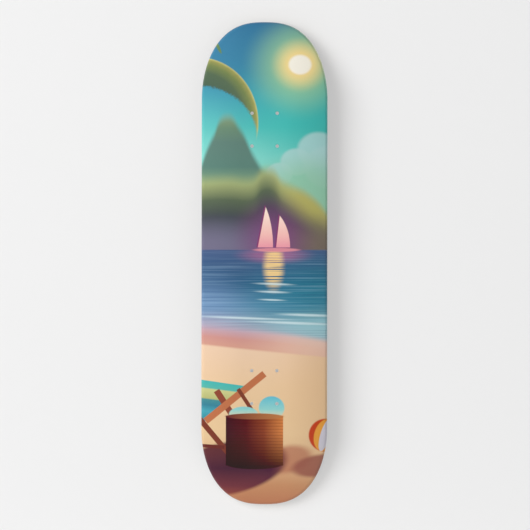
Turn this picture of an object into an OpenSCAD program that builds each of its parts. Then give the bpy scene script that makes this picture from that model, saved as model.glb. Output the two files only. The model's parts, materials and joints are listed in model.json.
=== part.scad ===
// Seven-ply skateboard deck, shown upright: +Z runs from the nose up to the tail,
// X runs across the deck, and -Y is the way the printed underside faces.
// The origin is on the flat of the underside, midway between the two truck hole patterns.

/* [Deck] */
// Width across the rails
deck_w = 206.4; // [190:0.2:225]
// Width of the flat strip along the middle, which the trucks seat on
flat_w = 70; // [60:1:90]
// How far the rails rise above the flat strip
concave = 11; // [6:0.5:16]
// Rounding of the rail next to the printed underside
rail_round_under = 4.5; // [2:0.25:5.5]
// Rounding of the rail next to the riding side
rail_round_top = 3; // [1:0.25:5]

/* [Truck holes] */
// Distance between the two inner pairs of truck holes
wheelbase = 368.3; // [330:0.1:400]
// Hole spacing across the deck
hole_pitch_x = 41.275; // [38:0.005:45]
// Hole spacing along the deck
hole_pitch_z = 53.975; // [50:0.005:64]
// Truck bolt hole diameter
hole_d = 5.56; // [4.8:0.01:6.5]

/* [Tail and nose] */
// Straight distance from the outer truck holes to the tip of the tail
tail_reach = 150.3; // [130:0.1:180]
// Straight distance from the outer truck holes to the tip of the nose
nose_reach = 166; // [140:0.1:200]
// Slope of the tail: mellow is 16.3 degrees and steep is 20.6 degrees
tail_slope = "steep"; // [mellow, steep]
// Slope of the nose: mellow is 16.3 degrees and steep is 20.6 degrees
nose_slope = "steep"; // [mellow, steep]
// Distance from the outer truck holes to where each end starts to bend
kick_gap = 28; // [20:1:45]
// Radius of the bend, on the underside
kick_r = 105; // [70:1:160]

/* [Outline] */
// Length of the curved part of the tail's outline
tail_curve = 128; // [90:1:150]
// Length of the curved part of the nose's outline
nose_curve = 124; // [90:1:150]
// Squareness of the shoulders: 2 is an ellipse, more is squarer
squareness = 2.6; // [2:0.05:3.2]

/* [Layers] */
// Thickness of a veneer whose grain runs along the deck
long_t = 1.6; // [1.3:0.05:1.9]
// Thickness of a veneer whose grain runs across the deck
cross_t = 1.5; // [1.2:0.05:1.9]
// Thickness of the printed film with its lacquer
film_t = 0.2; // [0.15:0.05:0.5]
// Thickness of the grip tape with its grit
grip_t = 0.9; // [0.6:0.05:1.5]
// Distance from the grip tape's edge to the edge of the veneer under it
grip_setback = 0.6; // [0:0.1:3]

/* [Hidden] */

// Thickness of each layer, from the printed underside to the riding side
layer_t = [film_t, long_t, long_t, cross_t, long_t, cross_t, long_t, long_t, grip_t];
FILM = 0;
BOTTOM = 1;
LOWER_LONG = 2;
LOWER_CROSS = 3;
CORE = 4;
UPPER_CROSS = 5;
UPPER_LONG = 6;
TOP = 7;
GRIP = 8;

// Height of a layer's lower face above the underside
function layer_y(i) = i == 0 ? 0 : layer_y(i - 1) + layer_t[i - 1];
wood_lo = layer_y(BOTTOM);
wood_hi = layer_y(GRIP);

// Height to which the blank reaches at the rails, with room to spare
section_h = layer_y(GRIP + 1) + concave;
spare = 20;

// The rails rise on an arc that starts level at the edge of the flat strip
side_w = (deck_w - flat_w) / 2;
side_r = (side_w * side_w + concave * concave) / (2 * concave);

// The slopes are those of the 44-117-125 and 7-24-25 triangles. Their sines and cosines are
// short decimals, so the straight kick leaves the bend with no seam.
function slope_angle(slope) = slope == "steep" ? atan2(44, 117) : atan2(7, 24);
tail_angle = slope_angle(tail_slope);
nose_angle = slope_angle(nose_slope);

// Places along the deck, with the bends on a hundredth of a millimetre
truck_z = (wheelbase + hole_pitch_z) / 2;
outer_hole_z = wheelbase / 2 + hole_pitch_z;
bend_z = round(100 * (outer_hole_z + kick_gap)) / 100;
tail_z = outer_hole_z + tail_reach;
nose_z = outer_hole_z + nose_reach;

// Extra turn given to a bend before it is cut off
spare_turn = 5;

curve_steps = 32;
arc_fn = 256;

maple = [0.80, 0.64, 0.44];
maple_dark = [0.70, 0.52, 0.34];

// How far a rail rounded to radius r stands back at a depth below the face
function rounded_back(r, depth) = depth >= r ? 0 : r - sqrt(r * r - (r - depth) * (r - depth));

// How far a veneer's edge stands back from the widest part of the rail
function edge_back(i) =
    let (middle = layer_y(i) + layer_t[i] / 2)
    max(rounded_back(rail_round_under, middle - wood_lo), rounded_back(rail_round_top, wood_hi - middle));

// A quarter of the outline, from the straight rail to the tip of one end
function end_curve(tip, length, back) = [
    for (i = [0:curve_steps])
        let (turn = 90 * i / curve_steps, across = max(0, cos(turn)))
        [(deck_w / 2 - back) * pow(across, 2 / squareness),
         tip - length + (length - back) * sin(turn)]
];

function reversed(points) = [for (i = [len(points) - 1:-1:0]) points[i]];
function without_first(points) = [for (i = [1:len(points) - 1]) points[i]];

// The outline on the X-Z plane, set back by a margin all round
module outline(back) {
    tail = end_curve(tail_z, tail_curve, back);
    nose = end_curve(nose_z, nose_curve, back);
    tail_left = [for (p = without_first(reversed(tail))) [-p[0], p[1]]];
    nose_left = [for (p = nose) [-p[0], -p[1]]];
    nose_right = [for (p = without_first(reversed(nose))) [p[0], -p[1]]];
    polygon(concat(tail, tail_left, nose_left, nose_right));
}

// The outline cut straight through the deck
module outline_cut(back) {
    reach_y = section_h + kick_r;
    translate([0, reach_y, 0])
        rotate([90, 0, 0])
            linear_extrude(reach_y + spare)
                outline(back);
}

// One rising side of a layer's cross-section, from the flat strip outwards
module rising_side(lo, hi) {
    translate([flat_w / 2, side_r]) intersection() {
        difference() {
            circle(r = side_r - lo, $fn = arc_fn);
            circle(r = side_r - hi, $fn = arc_fn);
        }
        translate([0, -side_r - spare]) square([side_w + spare / 2, 2 * spare + section_h]);
    }
}

// A layer's cross-section: flat in the middle, with both sides rising
module section(lo, hi) {
    translate([-flat_w / 2, lo]) square([flat_w, hi - lo]);
    rising_side(lo, hi);
    mirror([1, 0]) rising_side(lo, hi);
}

// The flat stretch of a layer, between the two bends
module flat_stretch(lo, hi) {
    translate([0, 0, -bend_z]) linear_extrude(2 * bend_z) section(lo, hi);
}

// Turns what is drawn on the flat stretch to where the kick starts
module turned(angle) {
    translate([0, kick_r, bend_z]) rotate([-angle, 0, 0]) translate([0, -kick_r, 0]) children();
}

// The bend of a layer at one end, cut off square where the kick starts
module bend(lo, hi, angle) {
    difference() {
        translate([0, kick_r, bend_z])
            rotate([90, 0, -90])
                rotate_extrude(angle = angle + spare_turn, $fn = arc_fn)
                    translate([kick_r, 0]) rotate(90) section(lo, hi);
        turned(angle) translate([-deck_w, -spare, 0]) cube([2 * deck_w, kick_r, deck_w]);
    }
}

// The straight kick of a layer at one end, running past the tip
module kick(lo, hi, angle, reach) {
    kick_l = (reach - kick_gap - kick_r * sin(angle)) / cos(angle) + spare;
    turned(angle) linear_extrude(kick_l) section(lo, hi);
}

// Each stretch of a layer, cut to the outline
module cut_to_outline(back) {
    for (k = [0:$children - 1])
        intersection() {
            children(k);
            outline_cut(back);
        }
}

// The eight truck bolt holes, drilled through every layer
module truck_holes() {
    drill_l = section_h + 2 * spare;
    for (truck = [-truck_z, truck_z], x = [-1, 1], z = [-1, 1])
        translate([x * hole_pitch_x / 2, -spare, truck + z * hole_pitch_z / 2])
            rotate([-90, 0, 0]) cylinder(h = drill_l, d = hole_d, $fn = 64);
}

// One layer: pressed, cut to the outline and drilled
module layer(i, back) {
    lo = layer_y(i);
    hi = lo + layer_t[i];
    difference() {
        cut_to_outline(back) {
            flat_stretch(lo, hi);
            bend(lo, hi, tail_angle);
            kick(lo, hi, tail_angle, tail_reach);
            mirror([0, 0, 1]) bend(lo, hi, nose_angle);
            mirror([0, 0, 1]) kick(lo, hi, nose_angle, nose_reach);
        }
        truck_holes();
    }
}

// Heat-transfer film that carries the print, pressed on the underside
module printed_film() {
    color([0.20, 0.62, 0.66]) layer(FILM, edge_back(BOTTOM));
}

module bottom_veneer() {
    color(maple) layer(BOTTOM, edge_back(BOTTOM));
}

module lower_long_veneer() {
    color(maple) layer(LOWER_LONG, edge_back(LOWER_LONG));
}

module lower_cross_veneer() {
    color(maple_dark) layer(LOWER_CROSS, edge_back(LOWER_CROSS));
}

module core_veneer() {
    color(maple) layer(CORE, edge_back(CORE));
}

module upper_cross_veneer() {
    color(maple_dark) layer(UPPER_CROSS, edge_back(UPPER_CROSS));
}

module upper_long_veneer() {
    color(maple) layer(UPPER_LONG, edge_back(UPPER_LONG));
}

module top_veneer() {
    color(maple) layer(TOP, edge_back(TOP));
}

// Grit-coated sheet stuck to the riding side and trimmed at the rail
module grip_tape() {
    color([0.09, 0.09, 0.10]) layer(GRIP, edge_back(TOP) + grip_setback);
}

printed_film();
bottom_veneer();
lower_long_veneer();
lower_cross_veneer();
core_veneer();
upper_cross_veneer();
upper_long_veneer();
top_veneer();
grip_tape();
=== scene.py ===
# %% [markdown]
# # A pressed maple skateboard deck
# The deck is a stack of thin layers: a printed film on the underside, seven maple veneers and a
# sheet of grip tape. The plain solids of all nine layers already exist and fix every size. Here
# each layer gets a finer mesh, with the rounded rails that a router leaves, and its own finish.

# %% Load the frame
import json
import math

import bmesh
import bpy
from mathutils import Matrix, Vector, noise


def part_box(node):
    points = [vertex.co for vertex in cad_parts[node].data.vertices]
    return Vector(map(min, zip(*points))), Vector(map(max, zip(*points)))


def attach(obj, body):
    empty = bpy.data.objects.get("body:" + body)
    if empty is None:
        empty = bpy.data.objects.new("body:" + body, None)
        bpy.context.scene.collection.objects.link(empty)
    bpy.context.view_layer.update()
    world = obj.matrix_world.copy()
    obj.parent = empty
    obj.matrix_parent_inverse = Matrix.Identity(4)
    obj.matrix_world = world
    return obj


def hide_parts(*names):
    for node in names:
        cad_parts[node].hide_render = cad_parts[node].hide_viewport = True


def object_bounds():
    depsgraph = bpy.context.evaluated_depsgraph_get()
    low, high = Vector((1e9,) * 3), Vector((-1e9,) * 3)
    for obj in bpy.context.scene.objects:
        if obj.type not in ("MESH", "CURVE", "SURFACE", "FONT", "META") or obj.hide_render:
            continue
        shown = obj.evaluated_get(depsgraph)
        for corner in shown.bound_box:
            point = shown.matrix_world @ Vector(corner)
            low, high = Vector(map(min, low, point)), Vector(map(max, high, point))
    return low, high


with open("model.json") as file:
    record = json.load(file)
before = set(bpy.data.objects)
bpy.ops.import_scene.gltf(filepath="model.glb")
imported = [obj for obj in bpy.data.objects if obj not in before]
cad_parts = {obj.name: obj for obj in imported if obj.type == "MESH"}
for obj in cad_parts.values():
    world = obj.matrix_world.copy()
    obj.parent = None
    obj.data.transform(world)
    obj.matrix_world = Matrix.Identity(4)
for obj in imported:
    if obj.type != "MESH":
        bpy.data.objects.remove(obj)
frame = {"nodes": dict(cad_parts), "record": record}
cad_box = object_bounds()
print("layers in the frame:", sorted(frame["nodes"]))

# %% [markdown]
# ## Sizes
# Everything that the solids can tell is read from them: the width, the two tips, and the height
# at which each layer starts on the flat strip between the trucks. What they can't tell, such as
# the radius of a bend, is named here once. Lengths are in metres, as everywhere in the scene.

# %% Sizes read from the solids
LAYERS = [
    "printed_film", "bottom_veneer", "lower_long_veneer", "lower_cross_veneer",
    "core_veneer", "upper_cross_veneer", "upper_long_veneer", "top_veneer", "grip_tape",
]
mounts = {mount["name"]: mount for mount in frame["record"]["mounts"]}
starts = [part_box(name)[0].y for name in LAYERS] + [mounts["riding_face"]["pos_m"][1]]
spans = dict(zip(LAYERS, zip(starts[:-1], starts[1:])))
HALF_WIDTH = cad_box[1].x
TAIL_TIP = cad_box[1].z
NOSE_TIP = -cad_box[0].z
wood_low, wood_high = spans["bottom_veneer"][0], spans["top_veneer"][1]
print(f"wood from {1000 * wood_low:.2f} to {1000 * wood_high:.2f} mm above the print")

# %% Sizes of the outline and of the press
MM = 0.001
TAIL_CURVE, NOSE_CURVE = 128 * MM, 124 * MM
SQUARENESS = 2.6
UNDER_ROUNDING, TOP_ROUNDING = 4.5 * MM, 3 * MM
FLAT_HALF = 35 * MM
CONCAVE = 11 * MM
KICK_GAP, KICK_RADIUS = 28 * MM, 105 * MM
KICK_SLOPE = math.atan2(44, 117)

tail_truck = mounts["tail_truck_holes"]
truck_z = tail_truck["pos_m"][2]
pitch_x, pitch_z = (tail_truck["dims"][key] * MM for key in ("spacing_x_mm", "spacing_y_mm"))
hole_radius = tail_truck["dims"]["hole_r_mm"] * MM
bend_start = truck_z + pitch_z / 2 + KICK_GAP
side_width = HALF_WIDTH - FLAT_HALF
side_radius = (side_width ** 2 + CONCAVE ** 2) / (2 * CONCAVE)
print(f"the kicks start {1000 * bend_start:.1f} mm from the middle")

# %% [markdown]
# ## The camera
# The deck is looked at square on, from far enough away that both ends look the same size. A long
# lens on a distant camera does that. The camera is placed first, so that every later choice can
# be judged through it. It takes in a little more than the deck's length, and is a hair off level.

# %% Camera
SENSOR = 36
CAMERA_DISTANCE = 16
VIEW_WIDTH = 0.869
VIEW_CENTRE = Vector((0.0009, 0, -0.0108))
VIEW_ROLL = math.radians(-0.08)

camera_data = bpy.data.cameras.new("camera")
camera_data.sensor_width = SENSOR
camera_data.lens = SENSOR * CAMERA_DISTANCE / VIEW_WIDTH
camera = bpy.data.objects.new("camera", camera_data)
camera.location = VIEW_CENTRE - Vector((0, CAMERA_DISTANCE, 0))
camera.rotation_euler = (math.radians(90), VIEW_ROLL, 0)
bpy.context.scene.collection.objects.link(camera)
bpy.context.scene.camera = camera
print(f"lens {camera_data.lens:.0f} mm")

# %% [markdown]
# ## The blank
# A real blank is glued up flat sheet by flat sheet, pressed, sawn to its outline, routered round
# the rails and drilled. The meshes are made in nearly that order. A grid is pulled into the
# outline, so its rows follow the deck and its columns fan in towards the tips. This keeps the
# faces four-sided right up to the blunt tips, where a plain disc would bunch up at a pole.

# %% Outline of the blank
# The share of the grid's rows that lie between the two curved ends, how far round a curve the
# last row comes, and how late the rows bend to follow the tip
STRAIGHT_SHARE = 0.5
LAST_TURN = math.radians(86)
TIP_BLEND = 4


def outline_place(across, along, setback):
    """Where a point of the unit square comes to lie on the blank, set back from the outline."""
    half = HALF_WIDTH - setback
    tip, curve = (TAIL_TIP, TAIL_CURVE) if along > 0 else (NOSE_TIP, NOSE_CURVE)
    start, reach = tip - curve, curve - setback
    past = (abs(along) - STRAIGHT_SHARE) / (1 - STRAIGHT_SHARE)
    if past <= 0:
        return across * half, along / STRAIGHT_SHARE * start
    turn = past * LAST_TURN
    x = across * half * math.cos(turn) ** (2 / SQUARENESS)
    row = math.sin(turn)
    edge = math.sqrt(1 - (abs(x) / half) ** SQUARENESS)
    return x, math.copysign(start + reach * (row + (edge - row) * past ** TIP_BLEND), along)


shoulder = outline_place(1, (1 + STRAIGHT_SHARE) / 2, 0)
print(f"the tail's shoulder is {2000 * shoulder[0]:.0f} mm wide")


# %% A flat sheet in that outline
def cut_sheet(setback, rows, columns):
    """A flat sheet that faces the print's side, with the way out stored on each rim point."""
    bm = bmesh.new()
    bmesh.ops.create_grid(bm, x_segments=columns, y_segments=rows, size=1)
    for v in bm.verts:
        x, z = outline_place(v.co.x, v.co.y, setback)
        v.co = (x, 0, z)
    outwards = bm.verts.layers.float_vector.new("outwards")
    for v in bm.verts:
        if v.is_boundary:
            before, after = (e.other_vert(v).co for e in v.link_edges if e.is_boundary)
            way = after - before
            out = Vector((way.z, 0, -way.x)).normalized()
            v[outwards] = out if out.dot(v.co) > 0 else -out
    return bm


trial = cut_sheet(0, 12, 4)
print("a coarse sheet has", len(trial.faces), "faces")
trial.free()


# %% A solid layer with a shaped rim
def slab(edge, rows, columns):
    """A flat solid layer. edge is its rim as (height, setback), from the lower to the upper face."""
    deepest = max(back for _, back in edge)
    bm = cut_sheet(deepest, rows, columns)
    outwards = bm.verts.layers.float_vector["outwards"]
    raised = bmesh.ops.extrude_face_region(bm, geom=bm.faces[:])["geom"]
    upper = [part for part in raised if isinstance(part, bmesh.types.BMVert)]
    bmesh.ops.translate(bm, verts=upper, vec=(0, 1, 0))
    upright = [e for e in bm.edges if abs(e.verts[0].co.y - e.verts[1].co.y) > 0.5]
    bmesh.ops.subdivide_edges(bm, edges=upright, cuts=len(edge) - 2)
    for v in bm.verts:
        height, back = edge[round(v.co.y * (len(edge) - 1))]
        v.co += (deepest - back) * v[outwards]
        v.co.y = height
    return bm


trial = slab([(0, 0), (MM / 2, 0), (MM, 0)], 12, 4)
print("a coarse slab has", len(trial.faces), "faces")
trial.free()

# %% [markdown]
# ## The press
# The press bends the flat stack in two ways: both sides rise on an arc, and the nose and tail
# turn up on a bend and then run straight. A point that lay at height t in the flat stack moves
# straight up to where that layer lies in the pressed deck, so layers that touch still touch.

# %% Press
def pressed_height(x, t, z):
    """Height of a point that lay t above the printed face of the flat blank."""
    out = max(0, abs(x) - FLAT_HALF)
    y = side_radius - math.sqrt((side_radius - t) ** 2 - out ** 2)
    along = abs(z) - bend_start
    inner = KICK_RADIUS - y
    if along <= 0:
        return y
    if along <= inner * math.sin(KICK_SLOPE):
        return KICK_RADIUS - math.sqrt(inner ** 2 - along ** 2)
    return KICK_RADIUS + (along * math.sin(KICK_SLOPE) - inner) / math.cos(KICK_SLOPE)


print(f"tail tip rises {1000 * pressed_height(0, 0, TAIL_TIP):.1f} mm")

# %% [markdown]
# ## The holes
# Eight bolt holes go through all layers. A drill is a cylinder, so the cleanest way is to take
# eight cylinders out of each pressed layer with a Boolean: the holes are round and line up.

# %% Drill bits
BIT_LENGTH = 0.1
BIT_SIDES = 48
BIT_TURN = Matrix.Rotation(math.radians(90), 3, "X")
HOLES = [
    Vector((side * pitch_x / 2, 0, truck + end * pitch_z / 2))
    for truck in (-truck_z, truck_z) for side in (-1, 1) for end in (-1, 1)
]


def drill_bits():
    """Eight cylinders where the truck bolts go, as one object that is removed later."""
    bm = bmesh.new()
    for hole in HOLES:
        bit = bmesh.ops.create_cone(
            bm, cap_ends=True, segments=BIT_SIDES,
            radius1=hole_radius, radius2=hole_radius, depth=BIT_LENGTH,
        )["verts"]
        bmesh.ops.transform(bm, matrix=BIT_TURN, verts=bit)
        bmesh.ops.translate(bm, verts=bit, vec=hole)
    mesh = bpy.data.meshes.new("drill_bits")
    bm.to_mesh(mesh)
    bm.free()
    return bpy.data.objects.new("drill_bits", mesh)


bits = drill_bits()
bpy.context.scene.collection.objects.link(bits)
print("drill bits:", len(bits.data.polygons), "faces")

# %% From a pressed slab to a finished piece
CREASE = math.radians(35)


def finished_piece(bm, name, material, node):
    """Presses and drills a slab, and puts it in the place of a plain solid."""
    for v in bm.verts:
        v.co.y = pressed_height(*v.co)
    bmesh.ops.recalc_face_normals(bm, faces=bm.faces[:])
    bm.verts.layers.float_vector.remove(bm.verts.layers.float_vector["outwards"])
    mesh = bpy.data.meshes.new(name)
    bm.to_mesh(mesh)
    bm.free()
    piece = bpy.data.objects.new(name, mesh)
    bpy.context.scene.collection.objects.link(piece)
    drill = piece.modifiers.new("drill", "BOOLEAN")
    drill.operation = "DIFFERENCE"
    drill.solver = "EXACT"
    drill.object = bits
    drilled = bpy.data.meshes.new_from_object(
        piece.evaluated_get(bpy.context.evaluated_depsgraph_get())
    )
    piece.modifiers.clear()
    piece.data = drilled
    drilled.name = name
    bpy.data.meshes.remove(mesh)
    drilled.shade_smooth()
    drilled.set_sharp_from_angle(angle=CREASE)
    drilled.materials.clear()
    drilled.materials.append(material)
    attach(piece, "root")
    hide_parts(node)
    print(f"{name}: {len(drilled.polygons)} faces")


# %% [markdown]
# ## Colours and nodes
# Colours are written as the sRGB hex values that a colour picker shows, and one function turns
# them into the linear values that shaders work with. One more function adds a node, sets it and
# links it, which keeps every material short.

# %% Colour and node helpers
def paint(code):
    """A hex colour as linear red, green, blue and alpha."""
    parts = [int(code[i:i + 2], 16) / 255 for i in (1, 3, 5)]
    linear = [c / 12.92 if c <= 0.04045 else ((c + 0.055) / 1.055) ** 2.4 for c in parts]
    return (*linear, 1)


def add(tree, kind, inputs=(), **settings):
    """Adds a node, sets it, fills its inputs by name or number, and returns its output."""
    node = tree.nodes.new(kind)
    for name, value in settings.items():
        setattr(node, name, value)
    for key, value in dict(inputs).items():
        found = node.inputs[key] if isinstance(key, int) else next(
            s for s in node.inputs if s.name == key and s.enabled
        )
        if isinstance(value, bpy.types.NodeSocket):
            tree.links.new(value, found)
        else:
            found.default_value = value
    return next((s for s in node.outputs if s.enabled), None)


def new_material(name):
    """An empty material and its node tree."""
    material = bpy.data.materials.new(name)
    material.use_nodes = True
    material.node_tree.nodes.clear()
    return material, material.node_tree


def finish_material(tree, **inputs):
    """Ends a material with a Principled shader, its inputs given by name."""
    named = {key.replace("_", " "): value for key, value in inputs.items()}
    shader = add(tree, "ShaderNodeBsdfPrincipled", named)
    add(tree, "ShaderNodeOutputMaterial", {"Surface": shader})


def wash(tree, value, stops):
    """Colours that run into each other along value. stops are (place, hex), from low to high."""
    low, high = stops[0][0], stops[-1][0]
    share = add(tree, "ShaderNodeMapRange", {"Value": value, "From Min": low, "From Max": high})
    colour = add(tree, "ShaderNodeValToRGB", {"Fac": share})
    ramp = colour.node.color_ramp
    for place, code in stops[1:-1]:
        ramp.elements.new((place - low) / (high - low)).color = paint(code)
    ramp.elements[0].color = paint(stops[0][1])
    ramp.elements[-1].color = paint(stops[-1][1])
    return colour


def lay(tree, under, over, mask, strength=1):
    """Paints over what is there, through a mask."""
    share = add(tree, "ShaderNodeMath", {0: mask, 1: strength}, operation="MULTIPLY")
    colour = paint(over) if isinstance(over, str) else over
    return add(tree, "ShaderNodeMix", {"Factor": share, "A": under, "B": colour}, data_type="RGBA")


print("linear value of mid grey:", round(paint("#808080")[0], 3))


# %% [markdown]
# ## Maple
# The veneers are hard maple, peeled from the log: pale cream with fine, slightly darker streaks
# along the grain, and a low sheen from the sealer that is broken up by the fibres. Noise that is
# stretched along the grain gives both faces of the wood at once. On a rail the long plies show
# streaks and the cross plies show their end grain as short darker flecks, and at the tips it is
# the other way round, as on a real deck.

# %% Maple material
GRAIN_SPACING = 0.5 * MM
GRAIN_STRETCH = 60
FIGURE_SPACING = 7 * MM
FIBRE_DEPTH = 0.05 * MM
SANDED_ROUGHNESS = 0.36, 0.6


def maple(name, grain, pale, dark):
    """Sanded, sealed hard maple. grain is the axis that it runs along, 0 for X and 2 for Z."""
    material, tree = new_material(name)
    spot = add(tree, "ShaderNodeTexCoord").node.outputs["Object"]
    stretch = [1, 1, 1]
    stretch[grain] = 1 / GRAIN_STRETCH
    along = add(tree, "ShaderNodeMapping", {"Vector": spot, "Scale": stretch})
    fibre = add(tree, "ShaderNodeTexNoise", {"Vector": along, "Scale": 1 / GRAIN_SPACING, "Detail": 3})
    figure = add(tree, "ShaderNodeTexNoise", {"Vector": along, "Scale": 1 / FIGURE_SPACING, "Detail": 2})
    tone = add(tree, "ShaderNodeMath", {0: fibre, 1: figure}, operation="ADD")
    colour = wash(tree, tone, [(0.7, dark), (0.9, pale), (1.15, pale), (1.35, dark)])
    bump = add(tree, "ShaderNodeBump", {"Height": fibre, "Strength": 0.35, "Distance": FIBRE_DEPTH})
    smooth, rough = SANDED_ROUGHNESS
    satin = add(tree, "ShaderNodeMapRange", {"Value": fibre, "To Min": smooth, "To Max": rough})
    finish_material(tree, Base_Color=colour, Roughness=satin, Normal=bump)
    return material


long_maple = maple("hard_maple_long_grain", 2, "#e6cda2", "#c9a271")
cross_maple = maple("hard_maple_cross_grain", 0, "#cfa670", "#9c7044")
print(f"maple streaks every {1000 * GRAIN_SPACING:.2f} mm")

# %% [markdown]
# ## Grip tape
# Grip tape is a paper sheet coated with black silicon carbide grit, about 80 grit, so the grains
# are some 0.2 mm across. They are drawn a little coarser so that they show. The sheet's own mesh
# is uneven too, because grit stands up from it, though not round the holes, which need a clean
# cut. A few grains are glossier and catch the light as sparkles, and the same grains are painted
# a lighter grey, a painted glint.

# %% Grip tape material
GRIT = 0.45 * MM
GRIT_DEPTH = 0.25 * MM
SPARKLE = 0.6 * MM
SPARKLE_FROM = 0.92
TONE_PATCH = 30 * MM
GRIT_ROUGHNESS, SPARKLE_ROUGHNESS = 0.82, 0.4


def grip_material():
    """Silicon carbide grit in black resin: matte and rough, with a few glossier grains painted lighter grey
    as a painted glint.
    """
    material, tree = new_material("silicon_carbide_grip")
    spot = add(tree, "ShaderNodeTexCoord").node.outputs["Object"]
    grains = add(tree, "ShaderNodeTexVoronoi", {"Vector": spot, "Scale": 1 / GRIT})
    patches = add(tree, "ShaderNodeTexNoise", {"Vector": spot, "Scale": 1 / TONE_PATCH, "Detail": 4})
    cells = add(tree, "ShaderNodeTexVoronoi", {"Vector": spot, "Scale": 1 / SPARKLE})
    chance = add(tree, "ShaderNodeSeparateColor", {"Color": cells.node.outputs["Color"]})
    glossy_painted_glint = add(tree, "ShaderNodeMapRange", {"Value": chance, "From Min": SPARKLE_FROM})
    base = wash(tree, patches, [(0.3, "#1b1c1e"), (0.7, "#2a2b2d")])
    # Painted glint: the few glossier grains are painted a lighter grey as well
    colour = lay(tree, base, "#7d8086", glossy_painted_glint, 0.6)
    bump = add(tree, "ShaderNodeBump", {
        "Height": grains, "Strength": 0.9, "Distance": GRIT_DEPTH,
    }, invert=True)
    gloss = add(tree, "ShaderNodeMapRange", {
        "Value": glossy_painted_glint, "To Min": GRIT_ROUGHNESS, "To Max": SPARKLE_ROUGHNESS,
    })
    finish_material(tree, Base_Color=colour, Roughness=gloss, Normal=bump)
    return material


grip = grip_material()
print(f"grit grains of {1000 * GRIT:.2f} mm")

# %% [markdown]
# ## The print
# The underside carries a heat-transfer print: a smooth, airbrushed beach, of this lesson's own
# design, under a thin satin lacquer that spreads any reflection into a faint, even sheen. An
# image would tie the deck to one resolution, so the scene is painted with nodes instead. Places
# are in millimetres on the deck: x to the right, z towards the tail, and 0 midway between the
# trucks. Each shape is a mask with a soft or a crisp edge, and what is far away is painted first.

# %% Masks for painting
def below(tree, height, level, soft):
    """1 where height is below level and 0 where it is above. A minus soft turns that round."""
    over = add(tree, "ShaderNodeMath", {0: height, 1: level}, operation="SUBTRACT")
    return add(tree, "ShaderNodeMapRange", {
        "Value": over, "From Min": soft / 2, "From Max": -soft / 2, "To Min": 0, "To Max": 1,
    }, interpolation_type="SMOOTHSTEP")


def oval(tree, place, centre, radii, turn=0, soft=0.08):
    """1 inside an oval and 0 outside it. soft is half the width of its edge, as a share of it."""
    local = add(tree, "ShaderNodeMapping", {
        "Vector": place, "Location": (*centre, 0),
        "Rotation": (0, 0, math.radians(turn)), "Scale": (*radii, 1),
    }, vector_type="TEXTURE")
    away = add(tree, "ShaderNodeVectorMath", {0: local}, operation="LENGTH")
    return below(tree, away, 1, 2 * soft)


def plank(tree, place, centre, half_size, turn=0, soft=1):
    """1 inside a turned rectangle and 0 outside it. soft is the width of its edge in mm."""
    local = add(tree, "ShaderNodeMapping", {
        "Vector": place, "Location": (*centre, 0), "Rotation": (0, 0, math.radians(turn)),
    }, vector_type="TEXTURE")
    size = add(tree, "ShaderNodeVectorMath", {0: local}, operation="ABSOLUTE")
    past = add(tree, "ShaderNodeVectorMath", {0: size, 1: (*half_size, 0)}, operation="SUBTRACT")
    parts = add(tree, "ShaderNodeSeparateXYZ", {"Vector": past}).node.outputs
    edge = add(tree, "ShaderNodeMath", {0: parts["X"], 1: parts["Y"]}, operation="MAXIMUM")
    return below(tree, edge, 0, soft)


def height_over(tree, x, z, line):
    """How far a point lies above a smooth line through (x, z) places, in mm."""
    left, right = line[0][0], line[-1][0]
    low, high = min(p[1] for p in line), max(p[1] for p in line)
    share = add(tree, "ShaderNodeMapRange", {"Value": x, "From Min": left, "From Max": right})
    curve = add(tree, "ShaderNodeFloatCurve", {"Value": share})
    points = curve.node.mapping.curves[0].points
    for k, (across, up) in enumerate(line):
        spot = ((across - left) / (right - left), (up - low) / (high - low))
        if k in (0, len(line) - 1):
            points[0 if k == 0 else -1].location = spot
        else:
            points.new(*spot)
    curve.node.mapping.update()
    level = add(tree, "ShaderNodeMapRange", {"Value": curve, "To Min": low, "To Max": high})
    return add(tree, "ShaderNodeMath", {0: z, 1: level}, operation="SUBTRACT")


def overlap(tree, mask, *others):
    """Where all of the masks are."""
    for other in others:
        mask = add(tree, "ShaderNodeMath", {0: mask, 1: other}, operation="MULTIPLY")
    return mask


print("masks to paint with: ovals, planks and what lies below a line")

# %% Sky, sun and cloud
SKYLINE = 14
SUN = (58, 318)
print("the skyline lies", SKYLINE, "mm above the middle")


def paint_sky(tree, place, z):
    """A sky from deep blue to pale turquoise, with a low sun in a haze and a cloud bank."""
    colour = wash(tree, z, [
        (20, "#9bb98a"), (110, "#98cbae"), (165, "#86d2c6"), (215, "#57beb7"),
        (270, "#4cacb2"), (320, "#428ca5"), (388, "#386b92"),
    ])
    colour = lay(tree, colour, "#4c86a8", oval(tree, place, (-80, 345), (84, 96), soft=0.9), 0.75)
    colour = lay(tree, colour, "#41afa8", oval(tree, place, (95, 225), (85, 110), soft=0.9), 0.75)
    colour = lay(tree, colour, "#7fd0c7", oval(tree, place, (-104, 178), (58, 58), soft=0.9), 0.35)
    colour = lay(tree, colour, "#98c498", oval(tree, place, SUN, (61, 59), soft=0.65), 0.9)
    colour = lay(tree, colour, "#f3d893", oval(tree, place, SUN, (33, 31), soft=0.6))
    colour = lay(tree, colour, "#f6f1e3", oval(tree, place, SUN, (18.5, 16), soft=0.16))
    for centre, size in (((88, 178), 34), ((52, 158), 26), ((24, 138), 22), ((104, 150), 40)):
        puff = oval(tree, place, centre, (size, 0.85 * size), soft=0.13)
        colour = lay(tree, colour, "#a6ccca", puff, 0.85)
    bank = oval(tree, place, (70, 95), (75, 62), soft=0.5)
    return lay(tree, colour, "#90c0a4", bank, 0.85)


# %% Hills
FAR_HILL = [(-104, 150), (-84, 200), (-62, 232), (-42, 214), (-18, 168), (4, 136), (50, 100), (104, 60)]
NEAR_HILL = [(-104, 128), (-60, 130), (-22, 128), (4, 146), (30, 124), (70, 104), (104, 68)]


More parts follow.
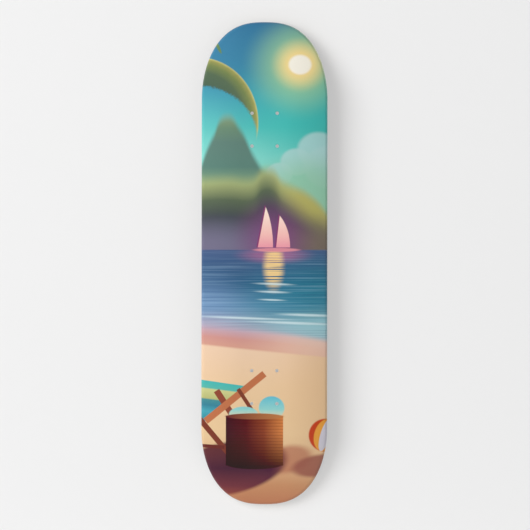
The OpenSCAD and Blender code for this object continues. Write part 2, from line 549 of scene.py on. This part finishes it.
def paint_hills(tree, place, x, z, colour):
    """Two hazy hills, dark at the foot, with late light along the near one's top."""
    far = height_over(tree, x, z, FAR_HILL)
    far_colour = wash(tree, z, [
        (120, "#7e9a78"), (150, "#59766c"), (190, "#60766c"), (214, "#6d8369"), (236, "#8b9870"),
    ])
    colour = lay(tree, colour, far_colour, below(tree, far, 0, 22), 0.92)
    near = height_over(tree, x, z, NEAR_HILL)
    near_colour = wash(tree, near, [
        (-120, "#565468"), (-62, "#44464f"), (-34, "#5a6552"), (-6, "#9fa874"),
    ])
    colour = lay(tree, colour, near_colour, below(tree, near, 0, 26), 0.95)
    lit = oval(tree, place, (84, 92), (58, 30), -38, soft=0.7)
    colour = lay(tree, colour, "#b5ac62", overlap(tree, below(tree, near, 0, 22), lit), 0.8)
    colour = lay(tree, colour, "#7c7790", oval(tree, place, (-78, 18), (90, 34), soft=0.8), 0.7)
    colour = lay(tree, colour, "#7d7064", oval(tree, place, (104, 24), (60, 34), soft=0.8), 0.85)
    return lay(tree, colour, "#86487f", oval(tree, place, (16, 32), (43, 46), soft=0.85), 0.66)


print("the hills reach", [max(up for _, up in hill) for hill in (FAR_HILL, NEAR_HILL)], "mm")


# %% Sea
SEA_EDGE = [(-104, -111), (-40, -117), (30, -124), (104, -135)]
GLINTS = [
    ((16, -42), (26, 1.6)), ((13, -55), (22, 1.6)), ((12, -68), (18, 1.28)),
    ((72, -93), (40, 1.92)), ((50, -106), (60, 1.92)), ((-30, -98), (60, 1.6)),
]


def paint_sea(tree, place, z, colour):
    """A calm sea with fine ripples, the sun's path on it and pale lines where it runs out."""
    sea = wash(tree, z, [
        (-125, "#b4b0bd"), (-102, "#8da9ba"), (-78, "#5f8dab"), (-45, "#375f80"), (SKYLINE, "#4f6185"),
    ])
    sea = lay(tree, sea, "#357f92", oval(tree, place, (105, -70), (105, 55), soft=0.8), 0.8)
    sea = lay(tree, sea, "#7f98be", oval(tree, place, (-108, -84), (64, 42), soft=0.8), 0.6)
    sea = lay(tree, sea, "#bfa4b0", oval(tree, place, (-110, -114), (72, 18), soft=0.8), 0.5)
    sea = lay(tree, sea, "#a4d2d6", oval(tree, place, (108, -116), (76, 24), soft=0.8), 0.65)
    sea = lay(tree, sea, "#a8688e", oval(tree, place, (16, 6), (44, 11), soft=0.7), 0.75)
    long_waves = add(tree, "ShaderNodeMapping", {"Vector": place, "Scale": (0.005, 0.42, 1)})
    ripple = add(tree, "ShaderNodeTexNoise", {"Vector": long_waves, "Scale": 1, "Detail": 2})
    crest = add(tree, "ShaderNodeMapRange", {"Value": ripple, "From Min": 0.52, "From Max": 0.72})
    trough = add(tree, "ShaderNodeMapRange", {"Value": ripple, "From Min": 0.48, "From Max": 0.3})
    sea = lay(tree, sea, "#9dbdd6", crest, 0.3)
    sea = lay(tree, sea, "#2f4f7c", trough, 0.35)
    path = oval(tree, place, (15, -12), (15, 34), soft=0.45)
    gaps = add(tree, "ShaderNodeMapRange", {"Value": ripple, "From Min": 0.4, "From Max": 0.5})
    sea = lay(tree, sea, "#eecb8c", overlap(tree, path, gaps), 0.95)
    for centre, radii in GLINTS:
        sea = lay(tree, sea, "#d3e6e8", oval(tree, place, centre, radii, turn=-2, soft=0.7), 0.7)
    return lay(tree, colour, sea, below(tree, z, SKYLINE, 3))


print("on the left the sea is", SKYLINE - SEA_EDGE[0][1], "mm high")


# %% A sailing boat
# Each sail's peak across the deck and along it, its belly and its lean
SAILS = [(2, 84, 12, 13), (25, 70, 17, 6)]
SAIL_ROUND = 30
LEE_REACH = 40
MAST_SHADOW = 2.2


def paint_boat(tree, place, z, colour):
    """A small boat with two plain sails that fill to the right."""
    cloth = wash(tree, z, [(12, "#e08a9e"), (40, "#edb9b2"), (82, "#f4e0d0")])
    foot = SKYLINE + 4
    over_foot = below(tree, foot, z, 1)
    for peak, top, belly, lean in SAILS:
        wide, tall = SAIL_ROUND + belly, top - foot
        full_height = tall / math.sqrt(1 - (SAIL_ROUND / wide) ** 2)
        full = oval(tree, place, (peak - SAIL_ROUND, foot), (wide, full_height), soft=0.012)
        turn = math.atan2(lean, tall)
        lee = (peak - lean / 2 + LEE_REACH * math.cos(turn), foot + tall / 2 - LEE_REACH * math.sin(turn))
        for reach, shade in ((LEE_REACH + MAST_SHADOW, "#84426e"), (LEE_REACH, cloth)):
            behind_mast = plank(tree, place, lee, (reach, 2 * tall), -math.degrees(turn))
            colour = lay(tree, colour, shade, overlap(tree, full, over_foot, behind_mast))
    hull = oval(tree, place, (20, SKYLINE), (37, 3.2), soft=0.2)
    return lay(tree, colour, "#d98d98", hull, 0.9)


print("the sails reach", [top for _, top, _, _ in SAILS], "mm")


# %% Beach
SAND_EDGE = [(-104, -141), (-40, -148), (30, -155), (104, -162)]


def paint_beach(tree, place, x, z, colour):
    """Wet, rosy sand at the water's edge, dry sand beyond it and shade in the foreground."""
    shore = height_over(tree, x, z, SEA_EDGE)
    wet = wash(tree, shore, [(-34, "#d09c88"), (-16, "#c9928a"), (0, "#bda4b2")])
    wet = lay(tree, wet, "#e8cab2", oval(tree, place, (112, -140), (90, 34), soft=0.9), 0.65)
    colour = lay(tree, colour, wet, below(tree, shore, 0, 12))
    dune = height_over(tree, x, z, SAND_EDGE)
    sand = wash(tree, z, [
        (-404, "#b5785a"), (-372, "#bf8b66"), (-335, "#d3ab83"), (-290, "#dcbd93"),
        (-210, "#e1c19b"), (-145, "#e4c5a9"),
    ])
    sand = lay(tree, sand, "#dcb890", oval(tree, place, (104, -215), (60, 110), soft=0.9), 0.7)
    colour = lay(tree, colour, sand, below(tree, dune, 0, 5))
    colour = lay(tree, colour, "#b0735a", oval(tree, place, (38, -330), (40, 22), 12, soft=0.25), 0.8)
    colour = lay(tree, colour, "#955a4e", oval(tree, place, (92, -340), (46, 18), 8, soft=0.2), 0.9)
    shade = oval(tree, place, (-64, -346), (104, 43), 12, soft=0.08)
    hue = wash(tree, x, [(-104, "#561c2c"), (-60, "#2c0a26"), (10, "#40183a"), (40, "#a06450")])
    low = wash(tree, z, [(-392, "#a8584a"), (-374, "#743844"), (-345, "#3c1638"), (-310, "#602634")])
    hue = lay(tree, hue, low, oval(tree, place, (-60, -350), (90, 50), soft=0.6), 0.8)
    return lay(tree, colour, hue, shade, 0.95)


print("on the left the wet sand is", SEA_EDGE[0][1] - SAND_EDGE[0][1], "mm wide")


# %% Deck chair
# Each rail's centre, half its size, its turn in degrees and its colour
CHAIR_RAILS = [
    ((-62, -242), (5.2, 30), 33, "#8c4c3c"),
    ((-48, -228), (62, 5.6), 39, "#b8714f"),
    ((-26, -240), (3.2, 31), 33, "#7d4436"),
    ((-82, -292), (4.5, 38), 40, "#7a3f33"),
    ((-93, -308), (28, 2.8), -4, "#6a3430"),
]


def paint_chair(tree, place, colour):
    """A canvas deck chair in broad stripes, on plain wooden rails."""
    sling = plank(tree, place, (-86, -245), (76, 43), turn=-8)
    over_rail = plank(tree, place, (-86, -181), (120, 60), turn=39)
    canvas = overlap(tree, sling, over_rail)
    local = add(tree, "ShaderNodeMapping", {
        "Vector": place, "Location": (-78, -222, 0), "Rotation": (0, 0, math.radians(-7)),
    }, vector_type="TEXTURE")
    down = add(tree, "ShaderNodeSeparateXYZ", {"Vector": local}).node.outputs["Y"]
    stripes = wash(tree, down, [
        (-44, "#3f8c98"), (-30, "#4d9fae"), (-20, "#3f7f92"), (-11, "#4a8a90"), (-9, "#b3b477"),
        (6, "#c4c488"), (8, "#5bb0a4"), (20, "#49b1ae"),
    ])
    colour = lay(tree, colour, stripes, canvas)
    for centre, half, turn, wood in CHAIR_RAILS:
        colour = lay(tree, colour, wood, plank(tree, place, centre, half, turn))
    return colour


print("the chair has", len(CHAIR_RAILS), "rails")


# %% Basket and ball
# How far round its wave the weave turns in a millimetre
STRAND_TURN = 1.25


def paint_basket(tree, place, x, z, colour):
    """A woven basket with a rolled towel in it, dark on the side away from the light."""
    towel = wash(tree, z, [(-262, "#d8cba6"), (-248, "#8fcac6"), (-225, "#5fb6c8")])
    for centre, radii in (((12, -245), (21, 19)), ((-34, -256), (24, 13))):
        colour = lay(tree, colour, towel, oval(tree, place, centre, radii, soft=0.06))
    side = wash(tree, x, [(-62, "#45192c"), (-30, "#5c2428"), (0, "#8c4630"), (30, "#cb7e48")])
    weave = add(tree, "ShaderNodeMath", {0: z, 1: STRAND_TURN}, operation="MULTIPLY")
    rib = add(tree, "ShaderNodeMath", {0: weave}, operation="SINE")
    dark_rib = add(tree, "ShaderNodeMapRange", {"Value": rib, "From Min": -0.2, "From Max": 1})
    side = lay(tree, side, "#3a1420", dark_rib, 0.26)
    depth = add(tree, "ShaderNodeMapRange", {"Value": z, "From Min": -285, "From Max": -342})
    side = lay(tree, side, "#2e0c18", depth, 0.93)
    body = plank(tree, place, (-16, -299), (47, 41))
    body = add(tree, "ShaderNodeMath", {
        0: body, 1: oval(tree, place, (-16, -338), (46, 8)),
    }, operation="MAXIMUM")
    colour = lay(tree, colour, side, body)
    rim = oval(tree, place, (-16, -259), (46.5, 5), soft=0.1)
    return lay(tree, colour, wash(tree, x, [(-62, "#6a3436"), (30, "#b97a4c")]), rim)


def paint_ball(tree, place, colour):
    """A beach ball in broad plain panels, at the right edge."""
    for width, tone in ((27, "#bd4429"), (18, "#dd9a43"), (8, "#c6c3cc")):
        panel = oval(tree, place, (100, -290), (width, 27), turn=-16, soft=0.05)
        colour = lay(tree, colour, tone, panel)
    return colour


print(f"the basket has a strand every {2 * math.pi / STRAND_TURN:.1f} mm")


# %% Palm leaf
# Two ovals, each as its centre and radii: the leaf lies in the outer one and out of the inner one
LEAF_OUTER = (-110, 222), (99.5, 108)
LEAF_INNER = (-110, 196), (98, 87)
LEAF_FRAY = 5


def paint_leaf(tree, place, colour):
    """One long palm leaf that arches in from the left and tapers, light along its upper side."""
    frayed = add(tree, "ShaderNodeTexNoise", {"Vector": place, "Scale": 0.3, "Detail": 2})
    fray = add(tree, "ShaderNodeMapRange", {"Value": frayed, "To Min": -LEAF_FRAY, "To Max": LEAF_FRAY})
    shift = add(tree, "ShaderNodeVectorMath", {0: (0, 1, 0), "Scale": fray}, operation="SCALE")
    rough = add(tree, "ShaderNodeVectorMath", {0: place, 1: shift}, operation="ADD")
    inside = oval(tree, place, *LEAF_OUTER, soft=0.012)
    clear = oval(tree, rough, *LEAF_INNER, soft=-0.03)
    local = add(tree, "ShaderNodeMapping", {
        "Vector": place, "Location": (*LEAF_OUTER[0], 0), "Scale": (*LEAF_OUTER[1], 1),
    }, vector_type="TEXTURE")
    away = add(tree, "ShaderNodeVectorMath", {0: local}, operation="LENGTH")
    green = wash(tree, away, [
        (0.55, "#4f6359"), (0.78, "#5e6f5b"), (0.9, "#7f8b5a"), (0.97, "#a3a062"), (1, "#d6cc7e"),
    ])
    streaks = add(tree, "ShaderNodeTexNoise", {"Vector": place, "Scale": 0.12, "Detail": 4})
    green = lay(tree, green, "#56704a", streaks, 0.3)
    colour = lay(tree, colour, green, overlap(tree, inside, clear))
    small = oval(tree, place, (-77, 348), (2.6, 13), turn=26, soft=0.15)
    return lay(tree, colour, "#6d8a60", small)


print("the leaf reaches", LEAF_OUTER[0][1] + LEAF_OUTER[1][1], "mm")


# %% The print's material
LACQUER_ROUGHNESS = 0.36, 0.48
LACQUER_PATCH = 25 * MM
# The lacquer's sheen adds this much light everywhere, so it is taken off the ink
LACQUER_SHEEN = 0.018
PRINTED_GRAIN = 2 * MM


def print_material():
    """Heat-transfer print under satin lacquer: smooth, with the wood's grain just felt below."""
    material, tree = new_material("satin_lacquered_print")
    spot = add(tree, "ShaderNodeTexCoord").node.outputs["Object"]
    axes = add(tree, "ShaderNodeSeparateXYZ", {"Vector": spot}).node.outputs
    flat = add(tree, "ShaderNodeCombineXYZ", {"X": axes["X"], "Y": axes["Z"]})
    place = add(tree, "ShaderNodeVectorMath", {0: flat, "Scale": 1 / MM}, operation="SCALE")
    across = add(tree, "ShaderNodeSeparateXYZ", {"Vector": place}).node.outputs
    x, z = across["X"], across["Y"]
    colour = paint_sky(tree, place, z)
    colour = paint_hills(tree, place, x, z, colour)
    colour = paint_sea(tree, place, z, colour)
    colour = paint_boat(tree, place, z, colour)
    colour = paint_beach(tree, place, x, z, colour)
    colour = paint_chair(tree, place, colour)
    colour = paint_basket(tree, place, x, z, colour)
    colour = paint_ball(tree, place, colour)
    colour = paint_leaf(tree, place, colour)
    sheen = (LACQUER_SHEEN, LACQUER_SHEEN, LACQUER_SHEEN, 1)
    ink = add(tree, "ShaderNodeMix", {
        "Factor": 1, "A": colour, "B": sheen,
    }, data_type="RGBA", blend_type="SUBTRACT", clamp_result=True)
    long_grain = add(tree, "ShaderNodeMapping", {"Vector": spot, "Scale": (1, 1, 1 / GRAIN_STRETCH)})
    grain = add(tree, "ShaderNodeTexNoise", {"Vector": long_grain, "Scale": 1 / PRINTED_GRAIN, "Detail": 2})
    bump = add(tree, "ShaderNodeBump", {"Height": grain, "Strength": 0.25, "Distance": FIBRE_DEPTH})
    mist = add(tree, "ShaderNodeTexNoise", {"Vector": spot, "Scale": 1 / LACQUER_PATCH, "Detail": 3})
    smooth, rough = LACQUER_ROUGHNESS
    satin = add(tree, "ShaderNodeMapRange", {"Value": mist, "To Min": smooth, "To Max": rough})
    finish_material(
        tree, Base_Color=ink, Roughness=satin, IOR=1.46, Specular_IOR_Level=0.3,
        Coat_Weight=0.1, Coat_Roughness=0.3, Normal=bump,
    )
    print("the print is painted with", len(tree.nodes), "nodes")
    return material


film = print_material()

# %% [markdown]
# ## The layers
# A veneer's rim is the stretch of the rounded rail at its own height, nicked a hair at each glue
# line. The print wraps round the lower rounding, as a heat-transfer film does, and the grip tape
# is rolled over the upper one and trimmed there with a file.

# %% Rims
RAIL_STEPS = 6
GLUE_NICK = 0.12 * MM
WRAP_STEPS = 8


def rounded_back(rounding, depth):
    """How far a rounded rail stands back at a depth below the face."""
    return 0 if depth >= rounding else rounding - math.sqrt(rounding ** 2 - (rounding - depth) ** 2)


def veneer_rim(low, high):
    """The rim of one veneer, nicked where it is glued to the next."""
    rim = []
    for k in range(RAIL_STEPS + 1):
        height = low + (high - low) * k / RAIL_STEPS
        under = rounded_back(UNDER_ROUNDING, max(0, height - wood_low))
        top = rounded_back(TOP_ROUNDING, max(0, wood_high - height))
        rim.append((height, max(under, top) + (GLUE_NICK if k in (0, RAIL_STEPS) else 0)))
    return rim


def wrapped_rim(centre, side, rounding, first, last, wrap):
    """The rim of a sheet that wraps round a rounded rail, out on radius first and back on last."""
    turns = [math.radians(wrap) * k / WRAP_STEPS for k in range(WRAP_STEPS + 1)]
    return [
        (centre + side * radius * math.cos(turn), rounding - radius * math.sin(turn))
        for radius, way in ((first, turns), (last, turns[::-1])) for turn in way
    ]


rim_backs = [round(1000 * back, 2) for _, back in veneer_rim(*spans["bottom_veneer"])]
print("the bottom veneer's rim stands back by", rim_backs, "mm")

# %% Veneers
VENEER_ROWS, VENEER_COLUMNS = 150, 34
CROSS_PLIES = ("lower_cross_veneer", "upper_cross_veneer")

for node in LAYERS[1:-1]:
    crosswise = node in CROSS_PLIES
    finished_piece(
        slab(veneer_rim(*spans[node]), VENEER_ROWS, VENEER_COLUMNS),
        node.replace("veneer", "ply"), cross_maple if crosswise else long_maple, node,
    )

# %% Printed film
FILM_ROWS, FILM_COLUMNS = 240, 60
FILM_WRAP = 73

film_thickness = spans["printed_film"][1] - spans["printed_film"][0]
film_rim = wrapped_rim(
    wood_low + UNDER_ROUNDING, -1, UNDER_ROUNDING, UNDER_ROUNDING + film_thickness, UNDER_ROUNDING, FILM_WRAP
)
finished_piece(slab(film_rim, FILM_ROWS, FILM_COLUMNS), "deck_print", film, "printed_film")

# %% Grip tape
GRIP_ROWS, GRIP_COLUMNS = 370, 94
GRIP_WRAP = 34
GRIT_HEIGHT = 0.16 * MM
GRIT_CLUMP = 1.2 * MM
CLEAN_RING = hole_radius + 5 * MM

grip_thickness = spans["grip_tape"][1] - spans["grip_tape"][0]
grip_rim = wrapped_rim(
    wood_high - TOP_ROUNDING, 1, TOP_ROUNDING, TOP_ROUNDING, TOP_ROUNDING + grip_thickness, GRIP_WRAP
)
sheet = slab(grip_rim, GRIP_ROWS, GRIP_COLUMNS)
top = max(v.co.y for v in sheet.verts)
for v in sheet.verts:
    from_hole = min((v.co.xz - hole.xz).length for hole in HOLES)
    if v.co.y > top - GRIT_HEIGHT and from_hole > CLEAN_RING:
        v.co.y -= GRIT_HEIGHT * (0.5 + 0.5 * noise.noise(v.co / GRIT_CLUMP))
finished_piece(sheet, "grip_sheet", grip, "grip_tape")
bpy.data.objects.remove(bits)

# %% [markdown]
# ## Stage and light
# The deck hangs in front of a pale wall, over a pale floor. Both glow a little of their own,
# which keeps shadows soft, and the floor looks a little brighter than the light it casts, so that
# it doesn't turn grey far off. They are one-sided: from behind, the wall lets the eye and the
# light through, so the riding side can be looked at as well. A wide lamp on the left throws the
# soft shadow to the right, and a fainter one behind shows the grip tape.

# %% Wall and floor
WALL_GAP = 4 * MM
WALL_SIZE = 1.6
WALL_RISE = 0.3
FLOOR_SIZE = 40
FLOOR_DROP = 0.07
STAGE_TONE = "#adadad"
STAGE_GLOW = 0.42
FLOOR_LOOK = 0.58


def studio_paint(name, look):
    """Pale matt paint with a glow, seen from its front only. look is the glow that the eye sees."""
    material, tree = new_material(name)
    matt = add(tree, "ShaderNodeBsdfDiffuse", {"Color": paint(STAGE_TONE)})
    seen_directly = add(tree, "ShaderNodeLightPath").node.outputs["Is Camera Ray"]
    strength = add(tree, "ShaderNodeMapRange", {"Value": seen_directly, "To Min": STAGE_GLOW, "To Max": look})
    glow = add(tree, "ShaderNodeEmission", {"Strength": strength})
    lit = add(tree, "ShaderNodeAddShader", {0: matt, 1: glow})
    clear = add(tree, "ShaderNodeBsdfTransparent")
    behind = add(tree, "ShaderNodeNewGeometry").node.outputs["Backfacing"]
    seen = add(tree, "ShaderNodeMixShader", {0: behind, 1: lit, 2: clear})
    add(tree, "ShaderNodeOutputMaterial", {"Surface": seen})
    return material


def stage_plane(name, size, material, turn, place):
    """A flat square that isn't part of the object."""
    bm = bmesh.new()
    bmesh.ops.create_grid(bm, x_segments=1, y_segments=1, size=size / 2)
    bmesh.ops.transform(bm, matrix=Matrix.Translation(place) @ turn.to_4x4(), verts=bm.verts[:])
    mesh = bpy.data.meshes.new(name)
    bm.to_mesh(mesh)
    bm.free()
    mesh.materials.append(material)
    plane = bpy.data.objects.new(name, mesh)
    bpy.context.scene.collection.objects.link(plane)
    return plane


low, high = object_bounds()
upright = Matrix.Rotation(math.radians(90), 3, "X")
wall_place = (0, high.y + WALL_GAP, WALL_RISE)
wall = stage_plane("wall", WALL_SIZE, studio_paint("wall_paint", STAGE_GLOW), upright, wall_place)
wall.visible_shadow = False
level = Matrix.Identity(3)
floor_place = (0, 0, low.z - FLOOR_DROP)
stage_plane("floor", FLOOR_SIZE, studio_paint("floor_paint", FLOOR_LOOK), level, floor_place)
print(f"wall {1000 * (high.y + WALL_GAP):.0f} mm behind the print")

# %% Lamps and world
def area_lamp(name, place, size, power):
    """A square soft lamp that points at the middle of the deck."""
    lamp_data = bpy.data.lights.new(name, "AREA")
    lamp_data.shape = "SQUARE"
    lamp_data.size = size
    lamp_data.energy = power
    lamp = bpy.data.objects.new(name, lamp_data)
    lamp.location = place
    lamp.rotation_euler = (-Vector(place)).to_track_quat("-Z", "Y").to_euler()
    lamp.visible_camera = False
    bpy.context.scene.collection.objects.link(lamp)
    return lamp


key = area_lamp("key", place=(-4.4, -5.2, 2), size=4.8, power=480)
key.visible_glossy = False
rear = area_lamp("rear", place=(1.6, 2.6, 1.2), size=2, power=70)

world = bpy.data.worlds.new("studio")
bpy.context.scene.world = world
world.use_nodes = True
sky = world.node_tree
sky.nodes.clear()
eye = add(sky, "ShaderNodeLightPath").node.outputs["Is Camera Ray"]
ambient = add(sky, "ShaderNodeBackground", {"Color": (1, 1, 1, 1), "Strength": 0.18})
backdrop = add(sky, "ShaderNodeBackground", {"Color": paint("#f0f0f0"), "Strength": 1})
seen_world = add(sky, "ShaderNodeMixShader", {0: eye, 1: ambient, 2: backdrop})
add(sky, "ShaderNodeOutputWorld", {"Surface": seen_world})

bpy.context.scene.view_settings.view_transform = "Standard"
print("lamps of", key.data.energy, "and", rear.data.energy, "W")
